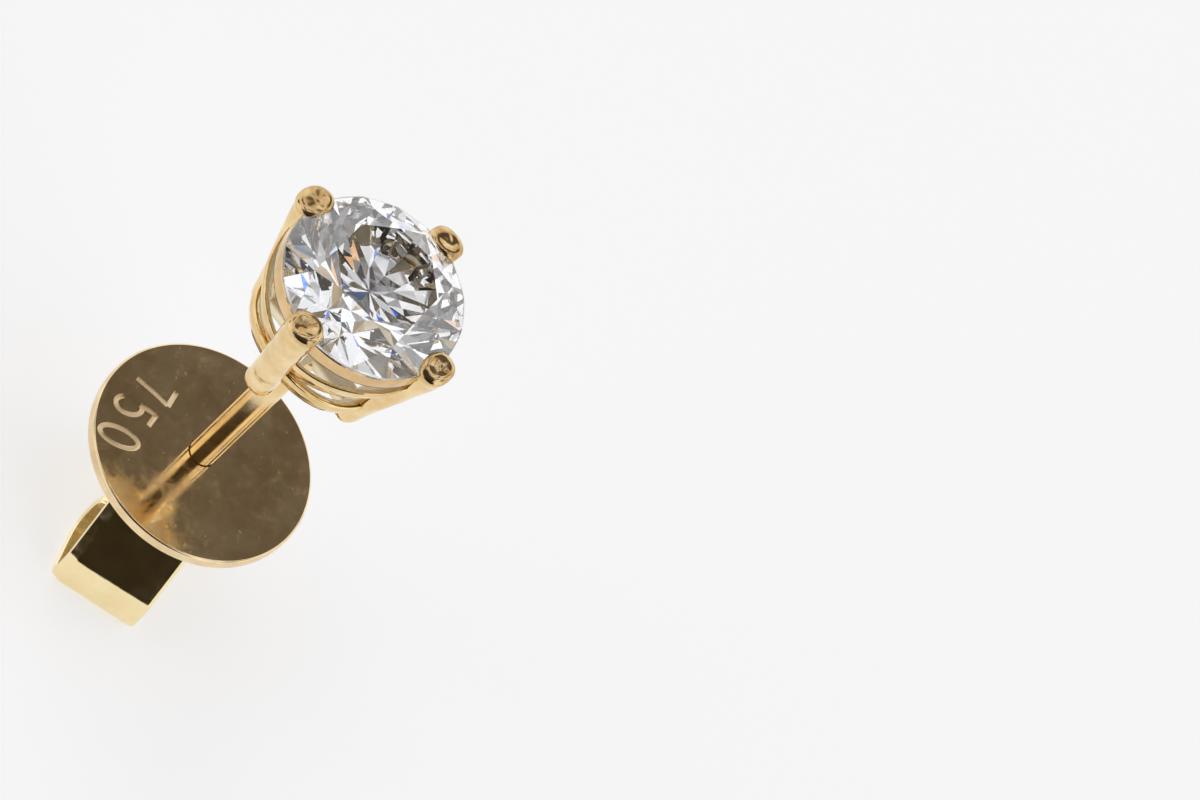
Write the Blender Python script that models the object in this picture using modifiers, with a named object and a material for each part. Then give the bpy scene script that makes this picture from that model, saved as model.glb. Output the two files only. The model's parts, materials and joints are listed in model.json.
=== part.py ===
"""Solitaire stud earring: a round stone in a four-prong basket on a straight post, with a butterfly clutch.

The earring is built with +Z running along the post from the clutch to the stone and the clutch disc's front
face at height zero. An empty then lifts it so that it stands on a table on the backs of the clutch's wings,
with its stone up.
"""
import math

import bmesh
import bpy
from mathutils import Matrix, Vector

MM = 0.001

# Stone: a round brilliant
STONE_DIAMETER = 5.25 * MM
TABLE_SHARE = 0.57
CROWN_ANGLE = math.radians(34.5)
PAVILION_ANGLE = math.radians(40.8)
STAR_SHARE = 0.50
LOWER_HALF_SHARE = 0.77
GIRDLE_HEIGHT = 0.12 * MM
FACET_FOLD = 8
GIRDLE_SIDES = 64

# Head: four prongs and their gallery
PRONG_COUNT = 4
PRONG_WIDTH = 1.04 * MM
PRONG_THICKNESS = 0.92 * MM
PRONG_RISE = 0.38 * MM
HEAD_DEPTH = 4.1 * MM
SEAT_WALL = 0.30 * MM
SEAT_LIP = 0.09 * MM
SEAT_HEIGHT = 0.75 * MM
UPPER_RAIL_DIAMETER = 0.46 * MM
LOWER_RAIL_DIAMETER = 0.50 * MM
RAIL_INSET = 0.08 * MM
BRIDGE_WIDTH = 0.70 * MM
BRIDGE_HEIGHT = 0.55 * MM
STONE_CLEARANCE = 0.16 * MM

# Post
EAR_GAP = 6.0 * MM
POST_DIAMETER = 0.8 * MM
POST_TAIL = 4.2 * MM
POST_END_CHAMFER = 0.12 * MM
SOLDER_CONE_HEIGHT = 0.35 * MM
SOLDER_CONE_RADIUS = 0.56 * MM
POST_SIDES = 32

# Clutch: a flat disc with a butterfly scroll soldered on its back
DISC_DIAMETER = 6.4 * MM
DISC_THICKNESS = 0.38 * MM
DISC_EDGE_RADIUS = 0.08 * MM
DISC_SIDES = 72
STRIP_WIDTH = 2.62 * MM
STRIP_THICKNESS = 0.28 * MM
STRIP_EDGE_BEVEL = 0.09 * MM
STRIP_SINK = 0.03 * MM
WING_REACH = 2.85 * MM
WING_DEPTH = 4.40 * MM
BORE_CLEARANCE = 0.05 * MM
CURL_CLEARANCE = 0.16 * MM

# Turn of the prongs about the post. The butterfly's strip lies along X.
PRONG_TURN = math.radians(-26.0)

# Each prong from its foot to its tip. Height is a share of the prong's own height, reach is the centre line's
# radius as a share of the stone's radius, width and thickness are shares of the prong's own.
PRONG_STATIONS = (
    # height, reach, width, thickness
    (0.000, 0.700, 0.46, 0.44),
    (0.012, 0.700, 0.66, 0.62),
    (0.040, 0.703, 0.79, 0.76),
    (0.090, 0.714, 0.84, 0.84),
    (0.220, 0.757, 0.86, 0.86),
    (0.420, 0.838, 0.89, 0.88),
    (0.620, 0.920, 0.92, 0.91),
    (0.800, 0.985, 0.96, 0.96),
    (0.930, 1.018, 1.00, 1.00),
    (0.985, 1.024, 0.98, 0.98),
    (1.000, 1.024, 0.90, 0.88),
)
PRONG_SECTION_SIDES = 20

# One wing of the butterfly, along the middle of its strip. Out runs from the curl beside the post, 0, to the
# wing's full reach, 1. Back runs from the strip's base on the disc, 0, to the back of the clutch, 1.
WING_ROUTE = (
    # out, back
    (0.02, 0.000),
    (0.14, 0.045),
    (0.38, 0.245),
    (0.62, 0.455),
    (0.80, 0.612),
    (0.895, 0.698),
    (0.928, 0.745),
    (0.945, 0.800),
    (0.982, 0.910),
    (0.968, 0.968),
    (0.86, 0.995),
    (0.66, 1.000),
    (0.38, 1.000),
    (0.17, 0.980),
    (0.04, 0.910),
    (0.00, 0.800),
    (0.02, 0.680),
    (0.10, 0.580),
    (0.24, 0.560),
)
ROUTE_STEPS = 4

# The gallery rails run round the basket between these heights, as shares of the head's depth below the
# girdle. Each rail is high at one pair of prongs and low at the other pair, so that the two interlace.
UPPER_RAIL_HIGH = 0.29
UPPER_RAIL_LOW = 0.44
LOWER_RAIL_HIGH = 0.62
LOWER_RAIL_LOW = 0.78
RAIL_STEPS = 56

GOLD = (0.86, 0.62, 0.29, 1.0)
DIAMOND = (0.93, 0.95, 0.97, 1.0)

# Sizes that follow from the ones above
STONE_RADIUS = STONE_DIAMETER / 2
GIRDLE_Z = EAR_GAP + HEAD_DEPTH
POST_RADIUS = POST_DIAMETER / 2
DISC_RADIUS = DISC_DIAMETER / 2
PRONG_HEIGHT = PRONG_RISE + HEAD_DEPTH
PRONG_FOOT_ROUNDING = PRONG_STATIONS[3][0] * PRONG_HEIGHT
BRIDGE_FOOT_Z = EAR_GAP + PRONG_FOOT_ROUNDING / 2
CURL_OFFSET = POST_RADIUS + CURL_CLEARANCE + STRIP_THICKNESS / 2
STRIP_BASE_Z = -DISC_THICKNESS + STRIP_SINK - STRIP_THICKNESS / 2


def clear_scene():
    """Remove every object, so that the file holds only this earring."""
    for old in list(bpy.data.objects):
        bpy.data.objects.remove(old, do_unlink=True)


def new_collection(name):
    """Add a named collection to the scene."""
    collection = bpy.data.collections.new(name)
    bpy.context.scene.collection.children.link(collection)
    return collection


def new_material(name, colour, roughness, metallic, transmission=0.0):
    """Make a Principled BSDF material from its main values."""
    material = bpy.data.materials.new(name)
    material.use_nodes = True
    material.diffuse_color = colour
    shader = material.node_tree.nodes["Principled BSDF"]
    shader.inputs["Base Color"].default_value = colour
    shader.inputs["Roughness"].default_value = roughness
    shader.inputs["Metallic"].default_value = metallic
    shader.inputs["Transmission Weight"].default_value = transmission
    return material


def add_object(name, mesh, collection, parent):
    """Put a mesh in a collection, under a parent."""
    part = bpy.data.objects.new(name, mesh)
    collection.objects.link(part)
    part.parent = parent
    return part


def as_tool(part):
    """Mark a shape that only joins or cuts another one."""
    part.hide_render = True
    part.display_type = "WIRE"
    return part


def mesh_from(bm, name):
    """Write a bmesh to a new mesh with outward faces and smooth round sides."""
    bmesh.ops.recalc_face_normals(bm, faces=bm.faces)
    mesh = bpy.data.meshes.new(name)
    bm.to_mesh(mesh)
    bm.free()
    mesh.shade_smooth()
    mesh.set_sharp_from_angle(angle=math.radians(35))
    return mesh


def mesh_from_curve(curve_object, name, collection, parent):
    """Turn a curve into a closed mesh object, because a curve can't be joined to a solid."""
    bpy.context.view_layer.update()
    graph = bpy.context.evaluated_depsgraph_get()
    mesh = bpy.data.meshes.new_from_object(curve_object.evaluated_get(graph))
    bm = bmesh.new()
    bm.from_mesh(mesh)
    bmesh.ops.remove_doubles(bm, verts=bm.verts, dist=0.0005 * MM)
    bpy.data.meshes.remove(mesh)
    bpy.data.objects.remove(curve_object, do_unlink=True)
    return add_object(name, mesh_from(bm, name), collection, parent)


def boolean(part, operation, tool):
    """Join a tool to a part, or cut it away."""
    modifier = part.modifiers.new(f"{operation.lower()}_{tool.name}", "BOOLEAN")
    modifier.operation = operation
    modifier.solver = "EXACT"
    modifier.object = tool


def polar(radius, angle, height):
    """A point at a radius and angle about the post."""
    return Vector((radius * math.cos(angle), radius * math.sin(angle), height))


def turned(name, profile, sides, collection, parent):
    """Turn a closed profile of (radius, height) pairs about the post's axis."""
    bm = bmesh.new()
    corners = [bm.verts.new((radius, 0.0, height)) for radius, height in profile]
    for first, second in zip(corners, corners[1:] + corners[:1]):
        bm.edges.new((first, second))
    mesh = bpy.data.meshes.new(name)
    bm.to_mesh(mesh)
    bm.free()
    part = add_object(name, mesh, collection, parent)
    screw = part.modifiers.new("turn", "SCREW")
    screw.axis = "Z"
    screw.steps = sides
    screw.render_steps = sides
    screw.use_merge_vertices = True
    screw.merge_threshold = 0.0005 * MM
    screw.use_normal_calculate = True
    return part


def cylinder(name, radius, bottom, top, sides, collection, parent):
    """A round bar between two heights."""
    bm = bmesh.new()
    bmesh.ops.create_cone(
        bm, cap_ends=True, segments=sides, radius1=radius, radius2=radius, depth=top - bottom,
        matrix=Matrix.Translation((0.0, 0.0, (top + bottom) / 2)),
    )
    return add_object(name, mesh_from(bm, name), collection, parent)


def facet(bm, corners, inside):
    """Grind one flat facet: cut off what lies outside the plane through three corners."""
    first, second, third = corners
    normal = (second - first).cross(third - first).normalized()
    if (inside - first).dot(normal) > 0:
        normal.negate()
    cut = bmesh.ops.bisect_plane(
        bm, geom=bm.verts[:] + bm.edges[:] + bm.faces[:], dist=0.00001 * MM,
        plane_co=first, plane_no=normal, clear_outer=True,
    )
    rim = [item for item in cut["geom_cut"] if isinstance(item, bmesh.types.BMEdge)]
    bmesh.ops.contextual_create(bm, geom=rim)


def brilliant(name, radius, girdle_height, girdle_sides):
    """Cut a round brilliant whose girdle lies in the plane of height zero and whose table faces up."""
    half = girdle_height / 2
    step = 2 * math.pi / FACET_FOLD
    table_radius = TABLE_SHARE * radius
    table_height = half + (radius - table_radius) * math.tan(CROWN_ANGLE)
    culet_depth = half + radius * math.tan(PAVILION_ANGLE)
    table_edge = table_radius * math.cos(step / 2)
    kite_radius = table_edge + STAR_SHARE * (radius - table_edge)
    kite_height = half + (radius - kite_radius * math.cos(step / 2)) * math.tan(CROWN_ANGLE)
    lower_radius = (1 - LOWER_HALF_SHARE) * radius
    lower_depth = half + (radius - lower_radius * math.cos(step / 2)) * math.tan(PAVILION_ANGLE)
    inside = Vector((0.0, 0.0, 0.0))

    bm = bmesh.new()
    bmesh.ops.create_cone(
        bm, cap_ends=True, segments=girdle_sides, radius1=radius, radius2=radius,
        depth=2 * culet_depth,
    )
    level = Vector((0.0, 0.0, table_height))
    facet(bm, (level, level + Vector((radius, 0, 0)), level + Vector((0, radius, 0))), inside)
    for index in range(FACET_FOLD):
        angle = index * step
        tangent = polar(radius, angle + math.pi / 2, 0.0)
        crown_foot = polar(radius, angle, half)
        facet(bm, (crown_foot, crown_foot + tangent, polar(table_radius, angle, table_height)), inside)
        pavilion_foot = polar(radius, angle, -half)
        facet(bm, (pavilion_foot, pavilion_foot + tangent, Vector((0, 0, -culet_depth))), inside)
    for index in range(FACET_FOLD):
        angle = index * step
        middle = angle + step / 2
        kite = polar(kite_radius, middle, kite_height)
        star = (polar(table_radius, angle, table_height), polar(table_radius, angle + step, table_height), kite)
        facet(bm, star, inside)
        for corner in (angle, angle + step):
            facet(bm, (polar(radius, corner, half), polar(radius, middle, half), kite), inside)
            lower = polar(lower_radius, middle, -lower_depth)
            facet(bm, (polar(radius, corner, -half), polar(radius, middle, -half), lower), inside)
    bmesh.ops.remove_doubles(bm, verts=bm.verts, dist=0.001 * MM)
    bmesh.ops.recalc_face_normals(bm, faces=bm.faces)
    mesh = bpy.data.meshes.new(name)
    bm.to_mesh(mesh)
    bm.free()
    return mesh


def prong_point(station, turn, angle):
    """A point on a prong: a section that is round outside and flatter towards the stone."""
    height, reach, width, thickness = station
    across = width * PRONG_WIDTH / 2 * math.cos(turn)
    outward = math.sin(turn)
    if outward < 0:
        outward = -math.sqrt(-outward)
    outward *= thickness * PRONG_THICKNESS / 2
    radial = reach * STONE_RADIUS + outward
    centre = polar(radial, angle, EAR_GAP + height * PRONG_HEIGHT)
    return centre + polar(across, angle + math.pi / 2, 0.0)


def prong(name, angle, collection, parent):
    """Loft one prong from its blunt foot under the basket to its flat-cut tip over the girdle."""
    bm = bmesh.new()
    rings = []
    for station in PRONG_STATIONS:
        turns = [2 * math.pi * side / PRONG_SECTION_SIDES for side in range(PRONG_SECTION_SIDES)]
        rings.append([bm.verts.new(prong_point(station, turn, angle)) for turn in turns])
    for lower, upper in zip(rings, rings[1:]):
        for side in range(PRONG_SECTION_SIDES):
            following = (side + 1) % PRONG_SECTION_SIDES
            bm.faces.new((lower[side], lower[following], upper[following], upper[side]))
    bm.faces.new(rings[0])
    bm.faces.new(rings[-1])
    return add_object(name, mesh_from(bm, name), collection, parent)


def basket_radius(height):
    """The radius of the prongs' centre lines at a height, so that rails and bridge meet the prongs."""
    share = (height - EAR_GAP) / PRONG_HEIGHT
    for lower, upper in zip(PRONG_STATIONS, PRONG_STATIONS[1:]):
        if share <= upper[0]:
            part = max(0.0, (share - lower[0]) / (upper[0] - lower[0]))
            return (lower[1] + part * (upper[1] - lower[1])) * STONE_RADIUS
    return PRONG_STATIONS[-1][1] * STONE_RADIUS


def rail(name, diameter, high, low, high_prong, collection, parent):
    """Bend a round wire into a ring round the basket that rises and falls from prong to prong."""
    curve = bpy.data.curves.new(name, "CURVE")
    curve.dimensions = "3D"
    curve.bevel_depth = diameter / 2
    curve.bevel_resolution = 2
    spline = curve.splines.new("POLY")
    spline.points.add(RAIL_STEPS - 1)
    spline.use_cyclic_u = True
    first = PRONG_TURN + high_prong * 2 * math.pi / PRONG_COUNT
    for index, point in enumerate(spline.points):
        angle = 2 * math.pi * index / RAIL_STEPS
        fall = (1 - math.cos(2 * (angle - first))) / 2
        height = GIRDLE_Z - (high + (low - high) * fall) * HEAD_DEPTH
        point.co = (*polar(basket_radius(height) - RAIL_INSET, angle, height), 1.0)
    wire = add_object(name, curve, collection, parent)
    return as_tool(mesh_from_curve(wire, name, collection, parent))


def bridge(name, angle, collection, parent):
    """A bar across the foot of the basket that ties two opposite prongs to the post."""
    middle = BRIDGE_FOOT_Z + BRIDGE_HEIGHT / 2
    length = 2 * basket_radius(middle)
    bm = bmesh.new()
    bmesh.ops.create_cube(bm, size=1.0)
    bmesh.ops.scale(bm, vec=(length, BRIDGE_WIDTH, BRIDGE_HEIGHT), verts=bm.verts)
    bmesh.ops.rotate(bm, matrix=Matrix.Rotation(angle, 3, "Z"), verts=bm.verts)
    bmesh.ops.translate(bm, vec=(0.0, 0.0, middle), verts=bm.verts)
    return as_tool(add_object(name, mesh_from(bm, name), collection, parent))


def post_blank(collection, parent):
    """The post, with a chamfered free end and a solder cone where it meets the basket."""
    top = BRIDGE_FOOT_Z + BRIDGE_HEIGHT / 2
    end = -POST_TAIL
    profile = (
        (0.0, top),
        (SOLDER_CONE_RADIUS, top),
        (SOLDER_CONE_RADIUS, BRIDGE_FOOT_Z),
        (POST_RADIUS, BRIDGE_FOOT_Z - SOLDER_CONE_HEIGHT),
        (POST_RADIUS, end + POST_END_CHAMFER),
        (POST_RADIUS - POST_END_CHAMFER, end),
        (0.0, end),
    )
    return as_tool(turned("post_blank", profile, POST_SIDES, collection, parent))


def build_stone(material, collection, parent):
    """The stone, with its girdle on the post's axis at the girdle height."""
    stone = add_object("stone", brilliant("stone", STONE_RADIUS, GIRDLE_HEIGHT, GIRDLE_SIDES), collection, parent)
    stone.location = (0.0, 0.0, GIRDLE_Z)
    stone.data.materials.append(material)
    return stone


def build_setting(material, collection, tools, parent):
    """Basket and post, soldered into one solid: seat ring, four prongs, two rails, bridge and post."""
    seat_top = GIRDLE_Z - GIRDLE_HEIGHT / 2 - STONE_CLEARANCE
    seat_foot = seat_top - SEAT_HEIGHT
    foot_radius = basket_radius(seat_foot)
    seat_profile = (
        (STONE_RADIUS - SEAT_LIP - SEAT_WALL, seat_top),
        (STONE_RADIUS - SEAT_LIP, seat_top),
        (foot_radius + SEAT_LIP, seat_foot),
        (foot_radius + SEAT_LIP - SEAT_WALL, seat_foot),
    )
    setting = turned("setting", seat_profile, GIRDLE_SIDES, collection, parent)
    setting.data.materials.append(material)
    for index in range(PRONG_COUNT):
        angle = PRONG_TURN + 2 * math.pi * index / PRONG_COUNT
        boolean(setting, "UNION", as_tool(prong(f"prong_blank_{index + 1}", angle, tools, parent)))
    upper = rail("upper_rail_blank", UPPER_RAIL_DIAMETER, UPPER_RAIL_HIGH, UPPER_RAIL_LOW, 1, tools, parent)
    lower = rail("lower_rail_blank", LOWER_RAIL_DIAMETER, LOWER_RAIL_HIGH, LOWER_RAIL_LOW, 0, tools, parent)
    boolean(setting, "UNION", upper)
    boolean(setting, "UNION", lower)
    for index in range(PRONG_COUNT // 2):
        angle = PRONG_TURN + 2 * math.pi * index / PRONG_COUNT
        boolean(setting, "UNION", bridge(f"bridge_blank_{index + 1}", angle, tools, parent))
    boolean(setting, "UNION", post_blank(tools, parent))
    room = 1 + STONE_CLEARANCE / STONE_RADIUS
    seat_mesh = brilliant("stone_room", STONE_RADIUS * room, GIRDLE_HEIGHT + 2 * STONE_CLEARANCE, GIRDLE_SIDES)
    stone_room = as_tool(add_object("stone_room", seat_mesh, tools, parent))
    stone_room.location = (0.0, 0.0, GIRDLE_Z)
    boolean(setting, "DIFFERENCE", stone_room)
    return setting


def spline_through(points, steps):
    """Points on a smooth curve through the given ones, by the Catmull-Rom formula."""
    ends = [2 * points[0] - points[1]] + points + [2 * points[-1] - points[-2]]
    route = []
    for before, start, end, after in zip(ends, ends[1:], ends[2:], ends[3:]):
        for step in range(steps):
            t = step / steps
            slope = (end - before) * t
            bend = (2 * before - 5 * start + 4 * end - after) * t**2
            curl = (3 * start - before - 3 * end + after) * t**3
            route.append((2 * start + slope + bend + curl) / 2)
    route.append(points[-1])
    return route


def wing_route():
    """The middle of the strip along one wing, as (out from the post, height) pairs."""
    depth = WING_DEPTH - STRIP_THICKNESS
    span = WING_REACH - STRIP_THICKNESS / 2 - CURL_OFFSET
    corners = [Vector((CURL_OFFSET + out * span, STRIP_BASE_Z - back * depth)) for out, back in WING_ROUTE]
    return spline_through(corners, ROUTE_STEPS)


def butterfly_blank(collection, parent):
    """Roll the strip: a base across the disc and a wing curled back towards the post on each side."""
    wing = wing_route()
    route = [Vector((-point.x, point.y)) for point in reversed(wing)] + wing
    bm = bmesh.new()
    pairs = []
    for point in route:
        near = bm.verts.new((point.x, -STRIP_WIDTH / 2, point.y))
        far = bm.verts.new((point.x, STRIP_WIDTH / 2, point.y))
        pairs.append((near, far))
    for (near, far), (next_near, next_far) in zip(pairs, pairs[1:]):
        bm.faces.new((near, next_near, next_far, far))
    mesh = bpy.data.meshes.new("butterfly_blank")
    bm.to_mesh(mesh)
    bm.free()
    strip = add_object("butterfly_blank", mesh, collection, parent)
    solid = strip.modifiers.new("thickness", "SOLIDIFY")
    solid.thickness = STRIP_THICKNESS
    solid.offset = 0.0
    edges = strip.modifiers.new("edges", "BEVEL")
    edges.width = STRIP_EDGE_BEVEL
    edges.segments = 2
    edges.limit_method = "ANGLE"
    edges.angle_limit = math.radians(60)
    return as_tool(strip)


def build_clutch(material, collection, tools, parent):
    """Disc and butterfly, soldered into one solid, bored for the post. Its origin is on the post's axis."""
    rim = DISC_RADIUS
    edge = DISC_EDGE_RADIUS
    corner = edge * (1 - math.sqrt(0.5))
    profile = (
        (0.0, 0.0),
        (rim - edge, 0.0),
        (rim - corner, -corner),
        (rim, -edge),
        (rim, -DISC_THICKNESS + edge),
        (rim - corner, -DISC_THICKNESS + corner),
        (rim - edge, -DISC_THICKNESS),
        (0.0, -DISC_THICKNESS),
    )
    clutch = turned("clutch", profile, DISC_SIDES, collection, parent)
    clutch.data.materials.append(material)
    boolean(clutch, "UNION", butterfly_blank(tools, parent))
    bore_foot = STRIP_BASE_Z - STRIP_THICKNESS
    bore = cylinder(
        "bore", POST_RADIUS + BORE_CLEARANCE, bore_foot, STRIP_THICKNESS, POST_SIDES, tools, parent,
    )
    boolean(clutch, "DIFFERENCE", as_tool(bore))
    return clutch


def stand_up(root, parts):
    """Lift the earring until its lowest point is at height zero."""
    bpy.context.view_layer.update()
    graph = bpy.context.evaluated_depsgraph_get()
    heights = []
    for part in parts:
        shown = part.evaluated_get(graph)
        heights += [(part.matrix_world @ vertex.co).z for vertex in shown.data.vertices]
    root.location.z = -min(heights)


def build_earring():
    """Build the three pieces and stand them up."""
    clear_scene()
    pieces = new_collection("stud_earring")
    tools = new_collection("cutters")
    gold = new_material("yellow_gold", GOLD, 0.12, 1.0)
    diamond = new_material("diamond", DIAMOND, 0.0, 0.0, transmission=1.0)
    root = bpy.data.objects.new("earring_axis", None)
    pieces.objects.link(root)
    build_stone(diamond, pieces, root)
    setting = build_setting(gold, pieces, tools, root)
    clutch = build_clutch(gold, pieces, tools, root)
    stand_up(root, (setting, clutch))


build_earring()
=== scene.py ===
"""Looks of the stud earring: fine surfaces, gold and diamond materials, floor, light and camera."""
import json
import math

import bmesh
import bpy
from mathutils import Matrix, Vector, noise


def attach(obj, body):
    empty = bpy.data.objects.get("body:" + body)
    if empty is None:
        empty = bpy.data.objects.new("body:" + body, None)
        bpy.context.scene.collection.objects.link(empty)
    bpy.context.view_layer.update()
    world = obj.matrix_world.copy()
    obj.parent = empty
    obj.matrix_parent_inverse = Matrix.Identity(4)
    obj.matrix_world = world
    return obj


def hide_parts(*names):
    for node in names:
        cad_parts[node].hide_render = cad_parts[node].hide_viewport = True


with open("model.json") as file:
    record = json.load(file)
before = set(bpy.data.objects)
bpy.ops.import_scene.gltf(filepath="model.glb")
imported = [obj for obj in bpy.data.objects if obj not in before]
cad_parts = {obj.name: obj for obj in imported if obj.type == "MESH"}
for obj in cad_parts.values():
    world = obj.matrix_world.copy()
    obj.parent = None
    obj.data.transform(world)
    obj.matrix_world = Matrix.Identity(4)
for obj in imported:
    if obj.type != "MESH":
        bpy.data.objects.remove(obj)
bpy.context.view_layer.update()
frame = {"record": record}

MM = 0.001
FRONT_Z = frame["record"]["mounts"][0]["pos_m"][2] / MM  # height of the disc's front face over the table

# Sizes in millimetres. The main ones of the stone, prongs, post, disc and strip are the solids' own. The
# girdle, seat, rails, bore and collar, the prongs' feet and tips, the bend of the wings, the height of the
# bridge and the rounded edges differ a little.
STONE_RADIUS = 2.625
TABLE_SHARE = 0.57
CROWN_ANGLE = math.radians(34.5)
PAVILION_ANGLE = math.radians(40.8)
STAR_SHARE = 0.50
LOWER_HALF_SHARE = 0.77
GIRDLE_HEIGHT = 0.10
FACET_FOLD = 8
GIRDLE_SIDES = 128
STONE_TURN = math.radians(8.0)
FROST_HEIGHTS = (0.046, 0.052)  # where the girdle's frost starts and stops to fade, over and under its middle

EAR_GAP = 6.0
HEAD_DEPTH = 4.1
PRONG_RISE = 0.38
PRONG_WIDTH = 1.04
PRONG_THICKNESS = 0.92
PRONG_TURN = math.radians(-26.0)
PRONG_COUNT = 4
PRONG_SQUARENESS = 2.25  # 2 is an ellipse, and more is nearer to a rectangle
PRONG_WAVES = (0.020, 0.007)  # how deep the broad and the fine waves of a prong are
PRONG_WAVE_SCALES = (1.3, 4.0)
TIP_REACH = 0.5  # how far down from its top a tip's slope is felt
TIP_DENTS = (0.050, 0.070)  # how deep the fine and the broad dents of a tip are
TIP_DENT_SCALES = (4.2, 2.0)
TIP_RIM_DENTS = 0.314  # the share of the dents that a tip has at its rim
TIP_DISH = 0.03  # how far the middle of a tip is pressed in
TIP_RINGS = (0.86, 0.72, 0.58, 0.44, 0.30, 0.16, 0.06)  # the rings across a tip, as shares of its rim
SEAT_HEIGHT = 0.52
SEAT_SINK = 0.02  # how far the seat stays under the girdle and under the stone's slope
SEAT_EDGE = 0.03  # how far the seat's rim stays inside the girdle
SEAT_LEDGE = 0.30  # how far the seat reaches in under the stone
SEAT_FOOT_OUT = 0.02  # how far the seat's foot stands out from the prongs' centre lines
# The seat's outline, as pairs of out and up, first from its rim and then from its foot
SEAT_RIM = ((-0.05, -0.035), (0.0, 0.0), (0.030, -0.02), (0.035, -0.08))
SEAT_FOOT = ((0.05, 0.14), (0.02, 0.04), (-0.04, 0.0), (-0.16, 0.0), (-0.24, 0.06))
RAIL_SQUARENESS = 2.4
RAIL_LEAN = 0.42  # how far a rail's outline leans out for each millimetre up
RAIL_WOBBLE = 0.012
RAIL_STEPS = 160
POST_RADIUS = 0.40
POST_TAIL = 4.2
POST_END_ROUND = 0.12
COLLAR_RADIUS = 0.56
COLLAR_TOP = 0.48
COLLAR_FOOT = 0.24
FILLET_WIDTH = 0.15
FILLET_TOP = 0.20
FILLET_HEIGHT = 0.32
BRIDGE_WIDTH = 0.70
BRIDGE_HEIGHT = 0.55
BRIDGE_LIFT = 0.207  # from the prongs' feet to the bridge's underside
BRIDGE_SAG = 0.06
BRIDGE_DROP = 0.02  # how much lower the second bar lies than the first
BRIDGE_STEPS = 24
BRIDGE_SQUARENESS = 2.8

DISC_RADIUS = 3.2
DISC_THICKNESS = 0.38
DISC_EDGE = 0.075
STRIP_WIDTH = 2.62
STRIP_THICKNESS = 0.28
STRIP_SINK = 0.03
STRIP_BACK_BEVEL = 0.05
# The strip's outer edges, as pairs of inset and drop: the one away from the camera and the wider, near one
STRIP_EDGE_AWAY = ((0.0, 0.07), (0.02, 0.04), (0.08, 0.008), (0.11, 0.0))
STRIP_EDGE_NEAR = ((0.0, 0.13), (0.02, 0.10), (0.26, 0.012), (0.30, 0.0))
WING_REACH = 2.85
WING_DEPTH = 4.40
CURL_CLEARANCE = 0.16
BORE_RADIUS = 0.430
BORE_REACH = (0.5, -1.2)  # the bore cutter's top and foot, from the disc's front face
GROOVE_RADIUS = 0.080
GROOVE_LIFT = 0.027  # the groove cutter's centre over the disc's face
GROOVE_SIDES = 10
GROOVE_TURN = 0.37  # how far the cutter is turned about its line, as a share of one side
DISC_CAP = 0.05  # the radius of the small caps in the middle of the disc's faces
POST_CAP = 0.02  # the same for the post's ends

GIRDLE_Z = EAR_GAP + HEAD_DEPTH
PRONG_HEIGHT = PRONG_RISE + HEAD_DEPTH
CURL_OFFSET = POST_RADIUS + CURL_CLEARANCE + STRIP_THICKNESS / 2
STRIP_BASE_Z = -DISC_THICKNESS + STRIP_SINK - STRIP_THICKNESS / 2

# The prongs' centre line: height as a share of the prong's own, reach as a share of the stone's radius, width
# and thickness as shares of the prong's own
PRONG_STATIONS = (
    # height, reach, width, thickness
    (0.000, 0.700, 0.30, 0.30),
    (0.006, 0.700, 0.52, 0.50),
    (0.018, 0.701, 0.68, 0.66),
    (0.042, 0.704, 0.79, 0.77),
    (0.090, 0.714, 0.84, 0.84),
    (0.220, 0.757, 0.86, 0.86),
    (0.420, 0.838, 0.89, 0.88),
    (0.620, 0.920, 0.92, 0.91),
    (0.800, 0.985, 0.96, 0.96),
    (0.930, 1.018, 1.00, 1.00),
    (1.000, 1.024, 1.00, 1.00),
)
# How each prong's tip was cut and pressed: slope outward and sideways, how round its edge is and a number
# that sets its own dents
PRONG_TIPS = (
    # out, side, round, dents
    (0.18, -0.10, 0.20, 0.3),
    (0.05, -0.22, 0.24, 1.9),
    (0.14, 0.12, 0.22, 3.1),
    (0.22, 0.18, 0.20, 4.6),
)
# The ribbon's height and thickness, how far it lies under the girdle where it is high and low as shares of
# the head's depth, the prong where it is high, and how far in from the prongs' centre lines it runs
GALLERY_RAILS = (
    # name, tall, thick, high, low, high prong, inset
    ("upper_gallery_rail", 0.94, 0.26, 0.29, 0.44, 1, 0.0),
    ("lower_gallery_rail", 0.78, 0.38, 0.62, 0.78, 0, 0.04),
)
# A wing's centre line: out from its curl and back from the strip, as shares of the wing's span and depth
WING_ROUTE = (
    # out, back
    (0.02, 0.000),
    (0.14, 0.045),
    (0.38, 0.245),
    (0.62, 0.455),
    (0.80, 0.611),
    (0.880, 0.681),
    (0.935, 0.730),
    (0.957, 0.757),
    (0.970, 0.800),
    (0.982, 0.855),
    (0.988, 0.915),
    (0.968, 0.968),
    (0.86, 0.995),
    (0.66, 1.000),
    (0.38, 1.000),
    (0.17, 0.980),
    (0.04, 0.910),
    (0.00, 0.800),
    (0.02, 0.680),
    (0.10, 0.580),
    (0.24, 0.560),
)

# How fine the gold's patches, smears, the mottle of the tips' painted shade, specks and scratches are: noise
# scales for each millimetre
PATCH_SCALE = 0.9
SMEAR_SCALE = 2.2
SHADE_MOTTLE_SCALE = 3.2
SPECK_SCALE = 7.0
SCRATCH_SCALE = 8.0
# Painted shade: a mottled brown on the prongs' tops
TIP_PAINTED_SHADE = (0.50, 0.31, 0.13)
TIP_WEAR_AND_SHADE_DEPTHS = (0.45, 0.15)  # how far under a prong's top its wear, a rougher polish, and its painted brown shade start and are full
FROST_ROUGHNESS = 0.25
DIAMOND_IOR = 2.417
INSIDE_COSINE = -0.35  # a face that turns further to the axis than this is inside the basket
FLOOR_GREYS = ((0.50, 0.50, 0.50), (0.52, 0.52, 0.52))
FLOOR_GLOW = 0.575  # like a light table's, so that the floor keeps hardly any shadow
FLOOR_RADIUS = 900.0

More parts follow.
